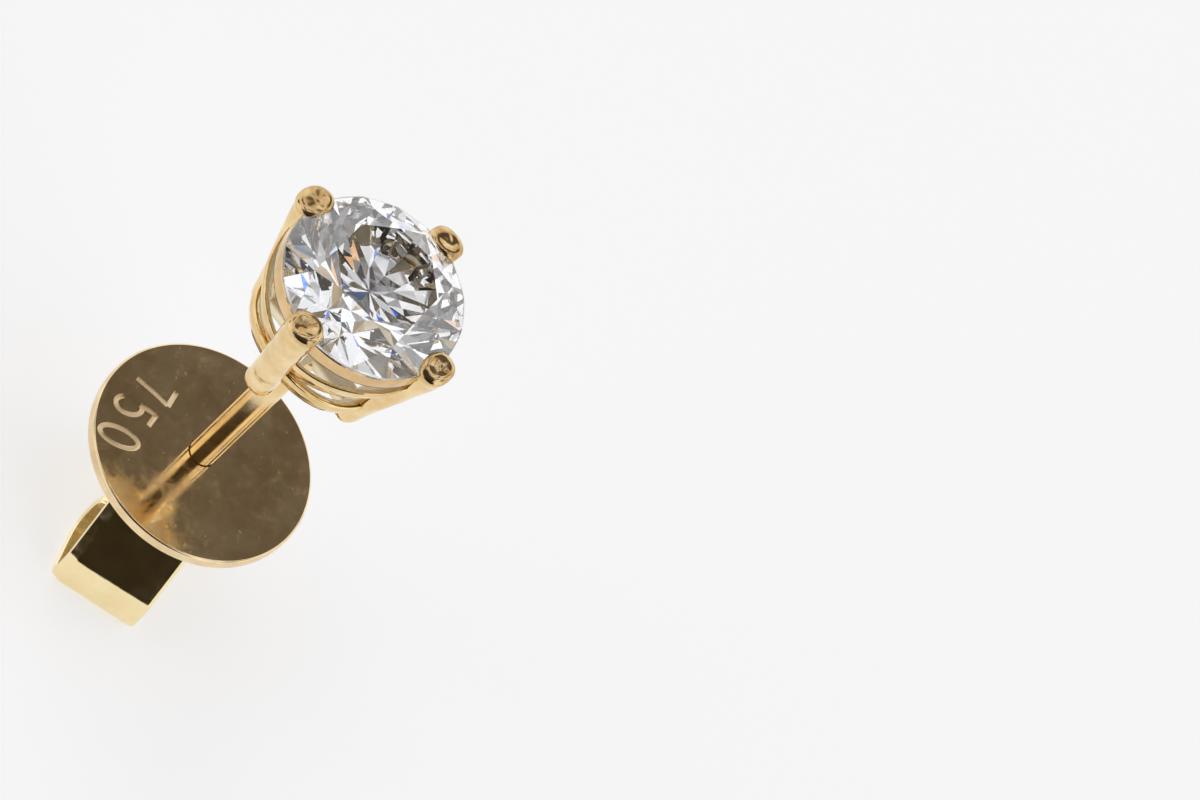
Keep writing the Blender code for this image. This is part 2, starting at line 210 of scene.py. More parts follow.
# Measured from the photograph: the turn of the view about the post, its tilt from the post's axis, the post's
# direction in the picture, the picture's scale and the place of the disc's front centre in it
VIEW_TURN = math.radians(-106.0)
VIEW_TILT = math.radians(37.4)
AXIS_DIRECTION = math.radians(44.0)
PIXELS_PER_MM = 38.0
DISC_PIXEL = (203.0, 452.5)
FRAME_SIZE = (1200, 800)
LENS = 600.0
SENSOR = 36.0

# Places, directions and size of the three numerals in the photograph, in pixels
NUMBER_PIXELS = ((154.0, 390.0), (134.5, 410.0), (119.0, 437.0))
NUMBER_UP = (0.88, 0.47)
NUMBER_RIGHT = (-0.58, 0.81)
NUMBER_SIZE = (20.0, 42.0)

# The tent's light, and the patches that hang in it: azimuth from the camera's side and elevation in degrees,
# half-angles where a patch ends and where it is full, and its light
TENT_LIGHT = (1.12, 1.13, 1.16)
SKY_PATCHES = (
    # azimuth, elevation, outer, inner, light
    (180.0, 52.6, 25.0, 17.0, (0.150, 0.130, 0.110)),
    (0.0, 44.0, 37.0, 27.0, (0.060, 0.052, 0.044)),
    (18.0, 6.0, 38.0, 33.0, (0.030, 0.023, 0.014)),
    (92.0, 76.0, 7.0, 5.5, (0.06, 0.06, 0.07)),
    (-96.0, 74.0, 6.0, 4.5, (0.06, 0.06, 0.07)),
    (66.0, 60.0, 7.0, 5.5, (0.10, 0.10, 0.11)),
    (-62.0, 62.0, 7.0, 5.5, (0.08, 0.08, 0.10)),
    (140.0, 76.0, 5.0, 3.5, (0.07, 0.07, 0.08)),
    (-140.0, 78.0, 5.0, 3.5, (0.07, 0.07, 0.08)),
    (112.0, 50.0, 8.0, 6.5, (0.10, 0.10, 0.12)),
    (-108.0, 52.0, 8.0, 6.5, (0.10, 0.10, 0.12)),
    (86.0, 30.0, 9.0, 7.0, (0.16, 0.16, 0.18)),
    (-84.0, 28.0, 9.0, 7.0, (0.16, 0.16, 0.18)),
    (80.0, 50.0, 4.5, 3.5, (0.05, 0.30, 1.20)),
    (-78.0, 60.0, 4.0, 3.0, (0.04, 0.22, 1.05)),
    (150.0, 62.0, 3.5, 2.5, (0.06, 0.45, 1.00)),
    (-30.0, 82.0, 4.5, 3.5, (0.10, 0.32, 0.90)),
    (104.0, 66.0, 4.5, 3.5, (1.05, 0.62, 0.32)),
    (-122.0, 66.0, 4.5, 3.5, (1.05, 0.62, 0.32)),
    (40.0, 78.0, 4.0, 3.0, (1.00, 0.58, 0.30)),
)


# Materials
class Graph:
    """Shorthand for building a material's nodes."""

    def __init__(self, tree):
        self.tree = tree

    def node(self, kind, **values):
        """A new node with some of its settings."""
        made = self.tree.nodes.new(kind)
        for key, value in values.items():
            setattr(made, key, value)
        return made

    def put(self, source, target):
        """Link an output to an input."""
        self.tree.links.new(source, target)

    def coords(self, scale):
        """Object coordinates in millimetres, times a scale."""
        place = self.node("ShaderNodeTexCoord")
        mapping = self.node("ShaderNodeMapping")
        mapping.inputs["Scale"].default_value = [1000 * s for s in scale]
        self.put(place.outputs["Object"], mapping.inputs["Vector"])
        return mapping.outputs["Vector"]

    def height(self):
        """Height over the table, in metres."""
        place = self.node("ShaderNodeTexCoord")
        split = self.node("ShaderNodeSeparateXYZ")
        self.put(place.outputs["Object"], split.inputs["Vector"])
        return split.outputs["Z"]

    def noise(self, scale, detail=3.0, rough=0.5, distort=0.0):
        """Noise from 0 to 1, its scale counted for each millimetre."""
        texture = self.node("ShaderNodeTexNoise")
        texture.inputs["Scale"].default_value = 1.0
        texture.inputs["Detail"].default_value = detail
        texture.inputs["Roughness"].default_value = rough
        texture.inputs["Distortion"].default_value = distort
        self.put(self.coords(scale), texture.inputs["Vector"])
        return texture.outputs["Fac"]

    def remap(self, value, low, high, to_low, to_high):
        """Stretch a value from one range to another, and keep it inside."""
        made = self.node("ShaderNodeMapRange")
        made.inputs["From Min"].default_value = low
        made.inputs["From Max"].default_value = high
        made.inputs["To Min"].default_value = to_low
        made.inputs["To Max"].default_value = to_high
        self.put(value, made.inputs["Value"])
        return made.outputs["Result"]

    def mix(self, factor, first, second, under=None):
        """Blend two colours, or the colour of an output with the second one."""
        made = self.node("ShaderNodeMix", data_type="RGBA")
        self.put(factor, made.inputs[0])
        made.inputs[6].default_value = (*first, 1.0)
        made.inputs[7].default_value = (*second, 1.0)
        if under is not None:
            self.put(under, made.inputs[6])
        return made.outputs[2]

    def join(self, kind, first, second, value=0.0):
        """Arithmetic on two outputs, or on an output and a value."""
        made = self.node("ShaderNodeMath", operation=kind)
        made.inputs[1].default_value = value
        self.put(first, made.inputs[0])
        if second is not None:
            self.put(second, made.inputs[1])
        return made.outputs[0]

    def bump(self, height, distance, under=None):
        """Let a height, times a distance in millimetres, tilt the surface."""
        made = self.node("ShaderNodeBump")
        made.inputs["Strength"].default_value = 1.0
        made.inputs["Distance"].default_value = distance * MM
        self.put(height, made.inputs["Height"])
        if under is not None:
            self.put(under, made.inputs["Normal"])
        return made.outputs["Normal"]


def new_material(name):
    """A material with its shader and its graph."""
    material = bpy.data.materials.new(name)
    material.use_nodes = True
    shader = material.node_tree.nodes["Principled BSDF"]
    return material, shader, Graph(material.node_tree)


def gold(name, light, dark, rough, waves, wave_scale, scratch, grain=(1, 1, 1), tip_rough_and_shade=0.0, specks=0.0):
    """Polished gold: colour that drifts a little, patchy polish, soft waves and fine scratches along a grain.
    Prongs can have rougher, worn tips with a painted brown shade, and a face can have dull specks."""
    material, shader, graph = new_material(name)
    shader.inputs["Metallic"].default_value = 1.0
    patches = graph.noise([PATCH_SCALE] * 3, 4.0, 0.6)
    tone = graph.mix(graph.remap(patches, 0.35, 0.65, 0.0, 1.0), light, dark)
    smears = graph.noise([SMEAR_SCALE] * 3, 5.0, 0.65, 0.6)
    polish = graph.remap(smears, 0.3, 0.75, rough[0], rough[1])
    # Near the prongs' tops: a rougher polish for wear, and a mottled brown that is painted shade
    if tip_rough_and_shade:
        tip = FRONT_Z + EAR_GAP + PRONG_HEIGHT
        wear_and_shade_from, wear_and_shade_full = [(tip - depth) * MM for depth in TIP_WEAR_AND_SHADE_DEPTHS]
        wear_and_shade = graph.remap(graph.height(), wear_and_shade_from, wear_and_shade_full, 0.0, 1.0)
        polish = graph.join("ADD", polish, graph.join("MULTIPLY", wear_and_shade, None, tip_rough_and_shade))
        shade_mottle = graph.remap(graph.noise([SHADE_MOTTLE_SCALE] * 3, 3.0, 0.6), 0.35, 0.60, 0.35, 1.0)
        tone = graph.mix(graph.join("MULTIPLY", wear_and_shade, shade_mottle), light, TIP_PAINTED_SHADE, under=tone)
    if specks:
        spots = graph.remap(graph.noise([SPECK_SCALE] * 3, 2.0, 0.5), 0.68, 0.74, 0.0, specks)
        polish = graph.join("ADD", polish, spots)
    graph.put(tone, shader.inputs["Base Color"])
    graph.put(polish, shader.inputs["Roughness"])
    swell = graph.bump(graph.noise([wave_scale] * 3, 2.0, 0.4), waves)
    lines = graph.noise([SCRATCH_SCALE * share for share in grain], 4.0, 0.7)
    graph.put(graph.bump(lines, scratch, under=swell), shader.inputs["Normal"])
    return material


def diamond():
    """Clear stone, polished on its facets and frosted on its girdle."""
    material, shader, graph = new_material("diamond_clear")
    shader.inputs["Base Color"].default_value = (1.0, 1.0, 1.0, 1.0)
    shader.inputs["Transmission Weight"].default_value = 1.0
    shader.inputs["IOR"].default_value = DIAMOND_IOR
    over = graph.join("SUBTRACT", graph.height(), None, (FRONT_Z + GIRDLE_Z) * MM)
    away = graph.join("ABSOLUTE", over, None)
    frost = graph.remap(away, FROST_HEIGHTS[0] * MM, FROST_HEIGHTS[1] * MM, FROST_ROUGHNESS, 0.0)
    graph.put(frost, shader.inputs["Roughness"])
    return material


def floor_material():
    """Matt grey that glows like a light table, so that it looks white and keeps hardly any shadow."""
    material, shader, graph = new_material("pale_floor")
    clouds = graph.noise((0.02, 0.02, 0.02), 3.0)
    graph.put(graph.mix(clouds, *FLOOR_GREYS), shader.inputs["Base Color"])
    shader.inputs["Emission Color"].default_value = (1.0, 1.0, 1.0, 1.0)
    shader.inputs["Emission Strength"].default_value = FLOOR_GLOW
    shader.inputs["Roughness"].default_value = 0.6
    shader.inputs["Specular IOR Level"].default_value = 0.2
    return material


# Shapes
def mark_inside(bm, top):
    """Give the second material, a paler gold painted with light to lift the shade inside the basket, to the
    faces that look at the post's axis, below a height.
    """
    bmesh.ops.recalc_face_normals(bm, faces=bm.faces)
    for face in bm.faces:
        middle = face.calc_center_median()
        level = Vector((middle.x, middle.y, 0.0))
        if middle.z < top and level.length > 0.1:
            face.material_index = int(face.normal.dot(level.normalized()) < INSIDE_COSINE)


def polar(radius, angle, height):
    """A point at a radius and angle about the post, its height counted from the disc's front face."""
    return Vector((radius * math.cos(angle), radius * math.sin(angle), height))


def finish_mesh(bm, name, material, sharp=40.0):
    """Turn a bmesh in millimetres into an object in metres, standing on the table."""
    bmesh.ops.recalc_face_normals(bm, faces=bm.faces)
    bm.transform(Matrix.Scale(MM, 4) @ Matrix.Translation((0.0, 0.0, FRONT_Z)))
    mesh = bpy.data.meshes.new(name)
    bm.to_mesh(mesh)
    bm.free()
    mesh.shade_smooth()
    mesh.set_sharp_from_angle(angle=math.radians(sharp))
    piece = bpy.data.objects.new(name, mesh)
    bpy.context.scene.collection.objects.link(piece)
    mesh.materials.append(material)
    return piece


def skin(bm, rings, closed=False):
    """Join rings of points with quads, and cap the ends unless the rings close on each other."""
    made = [[bm.verts.new(point) for point in ring] for ring in rings]
    following = made[1:] + made[:1] if closed else made[1:]
    for lower, upper in zip(made, following):
        count = len(lower)
        for side in range(count):
            bm.faces.new((lower[side], lower[(side + 1) % count], upper[(side + 1) % count], upper[side]))
    if not closed:
        bm.faces.new(made[0])
        bm.faces.new(made[-1])


def quarter(steps):
    """The angles of a quarter turn in equal steps."""
    return [math.pi / 2 * step / steps for step in range(steps + 1)]


def lathe(profile, sides):
    """Rings of a turned shape from (radius, height) pairs."""
    turns = [2 * math.pi * side / sides for side in range(sides)]
    return [[polar(radius, turn, height) for turn in turns] for radius, height in profile]


def spline_through(points, steps):
    """Points on a smooth curve through the given ones, by the Catmull-Rom formula."""
    ends = [2 * points[0] - points[1]] + points + [2 * points[-1] - points[-2]]
    route = []
    for before, start, end, after in zip(ends, ends[1:], ends[2:], ends[3:]):
        for step in range(steps):
            t = step / steps
            slope = (end - before) * t
            bend = (2 * before - 5 * start + 4 * end - after) * t**2
            curl = (3 * start - before - 3 * end + after) * t**3
            route.append((2 * start + slope + bend + curl) / 2)
    route.append(points[-1])
    return route


def facet(bm, corners, inside):
    """Grind one flat facet: cut off what lies outside the plane through three corners."""
    first, second, third = corners
    normal = (second - first).cross(third - first).normalized()
    if (inside - first).dot(normal) > 0:
        normal.negate()
    cut = bmesh.ops.bisect_plane(
        bm, geom=bm.verts[:] + bm.edges[:] + bm.faces[:], dist=0.00001,
        plane_co=first, plane_no=normal, clear_outer=True,
    )
    rim = [item for item in cut["geom_cut"] if isinstance(item, bmesh.types.BMEdge)]
    bmesh.ops.contextual_create(bm, geom=rim)


def make_stone(material):
    """A round brilliant with all its facets."""
    radius = STONE_RADIUS
    half = GIRDLE_HEIGHT / 2
    step = 2 * math.pi / FACET_FOLD
    table_radius = TABLE_SHARE * radius
    table_height = half + (radius - table_radius) * math.tan(CROWN_ANGLE)
    culet_depth = half + radius * math.tan(PAVILION_ANGLE)
    table_edge = table_radius * math.cos(step / 2)
    kite_radius = table_edge + STAR_SHARE * (radius - table_edge)
    kite_height = half + (radius - kite_radius * math.cos(step / 2)) * math.tan(CROWN_ANGLE)
    lower_radius = (1 - LOWER_HALF_SHARE) * radius
    lower_depth = half + (radius - lower_radius * math.cos(step / 2)) * math.tan(PAVILION_ANGLE)
    inside = Vector((0.0, 0.0, 0.0))
    bm = bmesh.new()
    bmesh.ops.create_cone(
        bm, cap_ends=True, segments=GIRDLE_SIDES, radius1=radius, radius2=radius, depth=2 * culet_depth,
    )
    level = Vector((0.0, 0.0, table_height))
    facet(bm, (level, level + Vector((1, 0, 0)), level + Vector((0, 1, 0))), inside)
    for index in range(FACET_FOLD):
        angle = index * step
        tangent = polar(radius, angle + math.pi / 2, 0.0)
        foot = polar(radius, angle, half)
        facet(bm, (foot, foot + tangent, polar(table_radius, angle, table_height)), inside)
        foot = polar(radius, angle, -half)
        facet(bm, (foot, foot + tangent, Vector((0, 0, -culet_depth))), inside)
    for index in range(FACET_FOLD):
        angle = index * step
        middle = angle + step / 2
        kite = polar(kite_radius, middle, kite_height)
        start = polar(table_radius, angle, table_height)
        end = polar(table_radius, angle + step, table_height)
        facet(bm, (start, end, kite), inside)
        for corner in (angle, angle + step):
            facet(bm, (polar(radius, corner, half), polar(radius, middle, half), kite), inside)
            lower = polar(lower_radius, middle, -lower_depth)
            facet(bm, (polar(radius, corner, -half), polar(radius, middle, -half), lower), inside)
    bmesh.ops.remove_doubles(bm, verts=bm.verts, dist=0.001)
    bm.transform(Matrix.Translation((0.0, 0.0, GIRDLE_Z)) @ Matrix.Rotation(STONE_TURN, 4, "Z"))
    piece = finish_mesh(bm, "stone_brilliant", material)
    piece.data.shade_flat()
    return piece


def section(width, thickness, sides, power):
    """A closed outline between an ellipse and a rectangle, as (across, out) pairs."""
    outline = []
    for side in range(sides):
        turn = 2 * math.pi * side / sides
        across = math.copysign(abs(math.cos(turn)) ** (2 / power), math.cos(turn))
        out = math.copysign(abs(math.sin(turn)) ** (2 / power), math.sin(turn))
        outline.append((across * width / 2, out * thickness / 2))
    return outline


def prong_rings(edge):
    """A prong's rings from its foot to the middle of its tip, as height, reach, width and thickness, with the
    share of the tip's dents that each has."""
    stations = spline_through([Vector(station) for station in PRONG_STATIONS], 6)
    tip = stations[-1]
    rings = []
    for height, reach, width, thickness in stations:
        z = height * PRONG_HEIGHT
        if z < PRONG_HEIGHT - edge - 0.01:
            rings.append((z, reach, width, thickness, 0.0))
    for turn in quarter(8):
        share = 1 - edge / (PRONG_THICKNESS / 2) * (1 - math.cos(turn)) * 0.9
        z = PRONG_HEIGHT - edge * (1 - math.sin(turn))
        rings.append((z, tip[1], tip[2] * share, tip[3] * share, 0.2 * turn))
    rim = rings[-1]
    for share in TIP_RINGS:
        face = TIP_RIM_DENTS + (1 - TIP_RIM_DENTS) * (1 - share)
        rings.append((PRONG_HEIGHT, tip[1], rim[2] * share, rim[3] * share, face))
    return rings


def make_prong(index, material):
    """One prong: a soft-edged bar with a rounded foot and a cut tip, which the setter's tool dented."""
    angle = PRONG_TURN + index * 2 * math.pi / PRONG_COUNT
    out_slope, side_slope, edge, seed = PRONG_TIPS[index]
    shown = []
    for z, reach, width, thickness, face in prong_rings(edge):
        loop = []
        near_tip = max(0.0, min(1.0, (z - PRONG_HEIGHT + TIP_REACH) / TIP_REACH))
        for across, out in section(width * PRONG_WIDTH, thickness * PRONG_THICKNESS, 56, PRONG_SQUARENESS):
            lower = near_tip * (out_slope * (out + PRONG_THICKNESS / 2) + side_slope * across)
            place = Vector((across, out, z))
            dent = TIP_DENTS[0] * face * noise.noise(place * TIP_DENT_SCALES[0] + Vector((seed * 7, 0, 0)))
            dent += TIP_DENTS[1] * face * noise.noise(place * TIP_DENT_SCALES[1] + Vector((0, seed * 9, 0)))
            wave = PRONG_WAVES[0] * noise.noise(place * PRONG_WAVE_SCALES[0] + Vector((seed * 3, 0, 0)))
            wave += PRONG_WAVES[1] * noise.noise(place * PRONG_WAVE_SCALES[1] + Vector((0, seed * 5, 0)))
            radial = reach * STONE_RADIUS + out * (1 + wave / 0.4)
            point = polar(radial, angle, EAR_GAP + z - max(0.0, lower) - TIP_DISH * face + dent)
            loop.append(point + polar(across * (1 + wave / 0.5), angle + math.pi / 2, 0.0))
        shown.append(loop)
    bm = bmesh.new()
    skin(bm, shown)
    mark_inside(bm, GIRDLE_Z + 0.1)
    piece = finish_mesh(bm, f"prong_{index + 1}", material, sharp=75)
    piece.data.materials.append(satin_painted_light_gold)
    return piece


def basket_radius(height):
    """The radius of the prongs' centre lines at a height."""
    share = (height - EAR_GAP) / PRONG_HEIGHT
    for lower, upper in zip(PRONG_STATIONS, PRONG_STATIONS[1:]):
        if share <= upper[0]:
            part = max(0.0, (share - lower[0]) / (upper[0] - lower[0]))
            return (lower[1] + part * (upper[1] - lower[1])) * STONE_RADIUS
    return PRONG_STATIONS[-1][1] * STONE_RADIUS


def make_rail(name, tall, thick, high, low, high_prong, inset, material):
    """A gallery rail: a flattened wire that rises and falls from prong to prong."""
    first = PRONG_TURN + high_prong * 2 * math.pi / PRONG_COUNT
    rings = []
    for index in range(RAIL_STEPS):
        angle = 2 * math.pi * index / RAIL_STEPS
        fall = (1 - math.cos(2 * (angle - first))) / 2
        height = GIRDLE_Z - (high + (low - high) * fall) * HEAD_DEPTH
        radius = basket_radius(height) - inset
        loop = []
        for up, out in section(tall, thick, 20, RAIL_SQUARENESS):
            wobble = RAIL_WOBBLE * noise.noise(Vector((3 * math.cos(angle), 3 * math.sin(angle), up + out)))
            loop.append(polar(radius + out + wobble + up * RAIL_LEAN, angle, height + up + wobble))
        rings.append(loop)
    bm = bmesh.new()
    skin(bm, rings, closed=True)
    mark_inside(bm, GIRDLE_Z)
    piece = finish_mesh(bm, name, material, sharp=60)
    piece.data.materials.append(satin_painted_light_gold)
    return piece


def make_seat(material):
    """The seat ring: its inner wall follows the underside of the stone."""
    top = GIRDLE_Z - GIRDLE_HEIGHT / 2 - SEAT_SINK
    rim = STONE_RADIUS - SEAT_EDGE
    slope = math.tan(PAVILION_ANGLE)
    foot = top - SEAT_HEIGHT
    foot_radius = basket_radius(foot) + SEAT_FOOT_OUT
    profile = [(rim + out, top + up) for out, up in SEAT_RIM]
    profile += [(foot_radius + out, foot + up) for out, up in SEAT_FOOT]
    profile.append((rim - SEAT_LEDGE, top - SEAT_LEDGE * slope - SEAT_SINK))
    bm = bmesh.new()
    skin(bm, lathe(profile, 128), closed=True)
    mark_inside(bm, GIRDLE_Z)
    piece = finish_mesh(bm, "seat_ring", material, sharp=50)
    piece.data.materials.append(satin_painted_light_gold)
    return piece


def make_bridge(material):
    """Two crossed bars under the stone's point, which tie the prongs' feet to the post."""
    bm = bmesh.new()
    middle = EAR_GAP + BRIDGE_LIFT + BRIDGE_HEIGHT / 2
    for index in range(PRONG_COUNT // 2):
        angle = PRONG_TURN + index * 2 * math.pi / PRONG_COUNT
        length = basket_radius(middle)
        rings = []
        for step in range(BRIDGE_STEPS + 1):
            along = length * (2 * step / BRIDGE_STEPS - 1)
            sag = BRIDGE_SAG * (1 - (along / length) ** 2)
            outline = section(BRIDGE_WIDTH, BRIDGE_HEIGHT, 24, BRIDGE_SQUARENESS)
            centre = polar(along, angle, middle + sag - index * BRIDGE_DROP)
            rings.append([centre + polar(across, angle + math.pi / 2, up) for across, up in outline])
        skin(bm, rings)
    return finish_mesh(bm, "bridge", material, sharp=60)


def make_post(material):
    """The post with its collar, its solder fillet and its rounded free end."""
    collar_top = EAR_GAP + COLLAR_TOP
    profile = [(POST_CAP, collar_top), (COLLAR_RADIUS, collar_top), (COLLAR_RADIUS, EAR_GAP + COLLAR_FOOT)]
    for turn in quarter(8):
        radius = POST_RADIUS + FILLET_WIDTH * (1 - math.sin(turn))
        profile.append((radius, EAR_GAP + FILLET_TOP - FILLET_HEIGHT * (1 - math.cos(turn))))
    straight_top = EAR_GAP + FILLET_TOP - FILLET_HEIGHT
    straight = straight_top + POST_TAIL - POST_END_ROUND
    for step in range(1, 24):
        profile.append((POST_RADIUS, straight_top - straight * step / 24))
    for turn in quarter(8):
        radius = POST_RADIUS - POST_END_ROUND * (1 - math.cos(turn))
        profile.append((radius, -POST_TAIL + POST_END_ROUND * (1 - math.sin(turn))))
    profile.append((POST_CAP, -POST_TAIL))
    bm = bmesh.new()
    skin(bm, lathe(profile, 64))
    return finish_mesh(bm, "post", material)


def cut(piece, bm, material=None):
    """Cut a closed shape, given in millimetres, away from a piece, and bake the result."""
    tool = finish_mesh(bm, "tool", material or piece.data.materials[0])
    for mesh in (piece.data, tool.data):
        mesh.transform(Matrix.Scale(1 / MM, 4))
    change = piece.modifiers.new("cut", "BOOLEAN")
    change.operation = "DIFFERENCE"
    change.solver = "EXACT"
    change.use_self = True
    change.material_mode = "TRANSFER"
    change.object = tool
    bpy.context.view_layer.update()
    graph = bpy.context.evaluated_depsgraph_get()
    mesh = bpy.data.meshes.new_from_object(piece.evaluated_get(graph))
    mesh.transform(Matrix.Scale(MM, 4))
    old = piece.data
    piece.modifiers.clear()
    piece.data = mesh
    bpy.data.meshes.remove(old)
    bpy.data.objects.remove(tool, do_unlink=True)
    mesh.shade_smooth()
    mesh.set_sharp_from_angle(angle=math.radians(35))


def bore_rings():
    """The round cutter for the hole that the post goes through."""
    return lathe([(BORE_RADIUS, height) for height in BORE_REACH], 64)


def stroke(bm, points, closed):
    """A thin round groove cutter along points a little over the disc's face."""
    rings = []
    count = len(points)
    for index, point in enumerate(points):
        before = points[index - 1] if index or closed else point
        after = points[(index + 1) % count] if index + 1 < count or closed else point
        along = (after - before).normalized()
        side = Vector((-along.y, along.x, 0.0))
        loop = []
        for step in range(GROOVE_SIDES):
            turn = 2 * math.pi * (step + GROOVE_TURN) / GROOVE_SIDES
            lift = GROOVE_LIFT + GROOVE_RADIUS * math.sin(turn)
            loop.append(point + side * (GROOVE_RADIUS * math.cos(turn)) + Vector((0, 0, lift)))
        rings.append(loop)
    skin(bm, rings, closed)


def numerals():
    """Each numeral's strokes, as points in a unit digit box."""
    bar = [Vector((0.04, 0.97, 0)), Vector((0.90, 1.0, 0))]
    stem = [Vector((0.86, 0.98, 0)), Vector((0.60, 0.52, 0)), Vector((0.36, 0.0, 0))]
    top = [Vector((0.88, 1.0, 0)), Vector((0.18, 1.0, 0))]
    neck = [Vector((0.21, 0.99, 0)), Vector((0.13, 0.55, 0))]
    bowl = []
    for step in range(19):
        turn = math.radians(132 - 268 * step / 18)
        bowl.append(Vector((0.42 + 0.42 * math.cos(turn), 0.33 + 0.33 * math.sin(turn), 0)))
    zero = []
    for step in range(28):
        turn = 2 * math.pi * step / 28
        zero.append(Vector((0.48 + 0.42 * math.cos(turn), 0.5 + 0.5 * math.sin(turn), 0)))
    return (((bar, False), (stem, False)), ((top, False), (neck, False), (bowl, False)), ((zero, True),))


def make_disc(material):
    """The clutch's disc, with rounded edges, a bore and a number near its rim."""
    low = -DISC_THICKNESS + DISC_EDGE
    profile = [(DISC_CAP, 0.0), (DISC_RADIUS - DISC_EDGE, 0.0)]
    for turn in quarter(6)[1:]:
        profile.append((DISC_RADIUS - DISC_EDGE * (1 - math.sin(turn)), -DISC_EDGE * (1 - math.cos(turn))))
    for turn in quarter(6):
        profile.append((DISC_RADIUS - DISC_EDGE * (1 - math.cos(turn)), low - DISC_EDGE * math.sin(turn)))
    profile.append((DISC_CAP, -DISC_THICKNESS))
    bm = bmesh.new()
    skin(bm, lathe(profile, 160))
    piece = finish_mesh(bm, "clutch_disc", material, sharp=35)
    bm = bmesh.new()
    skin(bm, bore_rings())
    cut(piece, bm, engraved_gold)
    for place, strokes in enumerate(numerals()):
        for points, closed in strokes:
            bm = bmesh.new()
            stroke(bm, [number_place(place, point) for point in points], closed)
            cut(piece, bm, engraved_gold)
    return piece


def make_strip(material):
    """The butterfly: a strip bent across the disc's back, with a wing curled to the post on each side. The
    insides of its loops get the second material, a paler gold that paints light into their shade."""
    depth = WING_DEPTH - STRIP_THICKNESS
    span = WING_REACH - STRIP_THICKNESS / 2 - CURL_OFFSET
    corners = [Vector((CURL_OFFSET + out * span, STRIP_BASE_Z - back * depth)) for out, back in WING_ROUTE]
    wing = spline_through(corners, 10)
    route = [Vector((-point.x, point.y)) for point in reversed(wing)] + wing
    half = STRIP_WIDTH / 2
    thin = STRIP_THICKNESS / 2
    inner = STRIP_BACK_BEVEL - thin
    outline = [(half, inner)]
    outline += [(half - inset, thin - drop) for inset, drop in STRIP_EDGE_AWAY]
    outline += [(inset - half, thin - drop) for inset, drop in reversed(STRIP_EDGE_NEAR)]
    outline += [(-half, inner), (STRIP_BACK_BEVEL - half, -thin), (half - STRIP_BACK_BEVEL, -thin)]
    rings = []
    for index, point in enumerate(route):
        before = route[max(0, index - 1)]
        after = route[min(len(route) - 1, index + 1)]
        along = (after - before).normalized()
        loop = []
        for across, out in outline:
            loop.append(Vector((point.x - along.y * out, across, point.y + along.x * out)))
        rings.append(loop)
    bm = bmesh.new()
    skin(bm, rings)
    bmesh.ops.recalc_face_normals(bm, faces=bm.faces)
    for face in bm.faces:
        spots = [corner.co for corner in face.verts]
        middle = sum(spots, Vector()) / len(spots)
        side = math.copysign(CURL_OFFSET + 0.5 * span, middle.x)
        inside = Vector((side, middle.y, STRIP_BASE_Z - 0.8 * depth))
        flat = abs(face.normal.y) < 0.2
        below = middle.z < STRIP_BASE_Z - 0.1 * depth
        face.material_index = int(flat and below and face.normal.dot(inside - middle) > 0)
    piece = finish_mesh(bm, "clutch_butterfly", material, sharp=12)
    piece.data.materials.append(inside_painted_light_gold)
    bm = bmesh.new()
    skin(bm, bore_rings())
    cut(piece, bm)
    return piece


# The view and the light
def view_axes():
    """The picture's right and up directions and the direction towards the camera, in the object's frame."""
    spin = Matrix.Rotation(VIEW_TURN, 3, "Z")
    toward = spin @ Vector((0.0, math.sin(VIEW_TILT), math.cos(VIEW_TILT)))
    along = (Vector((0.0, 0.0, 1.0)) - toward * toward.z).normalized()
    beside = spin @ Vector((-1.0, 0.0, 0.0))
    right = along * math.cos(AXIS_DIRECTION) + beside * math.sin(AXIS_DIRECTION)
    up = along * math.sin(AXIS_DIRECTION) - beside * math.cos(AXIS_DIRECTION)
    return right, up, toward


def place_camera():
    """A long lens at the photograph's angle, aimed so that the earring lies where the photograph has it."""
    right, up, toward = view_axes()
    focal = FRAME_SIZE[0] * LENS / SENSOR
    distance = focal / PIXELS_PER_MM * MM
    aside = (DISC_PIXEL[0] - FRAME_SIZE[0] / 2) / focal
    below = (DISC_PIXEL[1] - FRAME_SIZE[1] / 2) / focal
    seen = Vector((-aside, below, 1.0)).normalized()
    lean = Vector((0.0, 0.0, 1.0)).rotation_difference(seen).to_matrix()
    turned = Matrix((right, up, toward)).transposed() @ lean.transposed()
    target = Vector((0.0, 0.0, FRONT_Z * MM))
    data = bpy.data.cameras.new("camera")
    data.lens = LENS
    data.sensor_width = SENSOR
    data.clip_start = 0.01
    data.clip_end = 10.0
    camera = bpy.data.objects.new("camera", data)
    camera.matrix_world = Matrix.Translation(target + toward * distance) @ turned.to_4x4()
    bpy.context.scene.collection.objects.link(camera)
    bpy.context.scene.camera = camera


def number_place(place, point):
    """A point of one of the three numerals on the disc's face, from its place in the photograph."""
    spin = Matrix.Rotation(VIEW_TURN, 3, "Z")
    beside = spin @ Vector((-1.0, 0.0, 0.0))
    back = spin @ Vector((0.0, -1.0, 0.0))
    spot = Vector(NUMBER_PIXELS[place]) - Vector(DISC_PIXEL)
    spot += Vector(NUMBER_UP) * ((point.y - 0.5) * NUMBER_SIZE[1])
    spot += Vector(NUMBER_RIGHT) * ((point.x - 0.5) * NUMBER_SIZE[0])
    spot /= PIXELS_PER_MM
    along = spot.x * math.cos(AXIS_DIRECTION) - spot.y * math.sin(AXIS_DIRECTION)
    aside = spot.x * math.sin(AXIS_DIRECTION) + spot.y * math.cos(AXIS_DIRECTION)
    return beside * aside + back * (along / math.cos(VIEW_TILT))


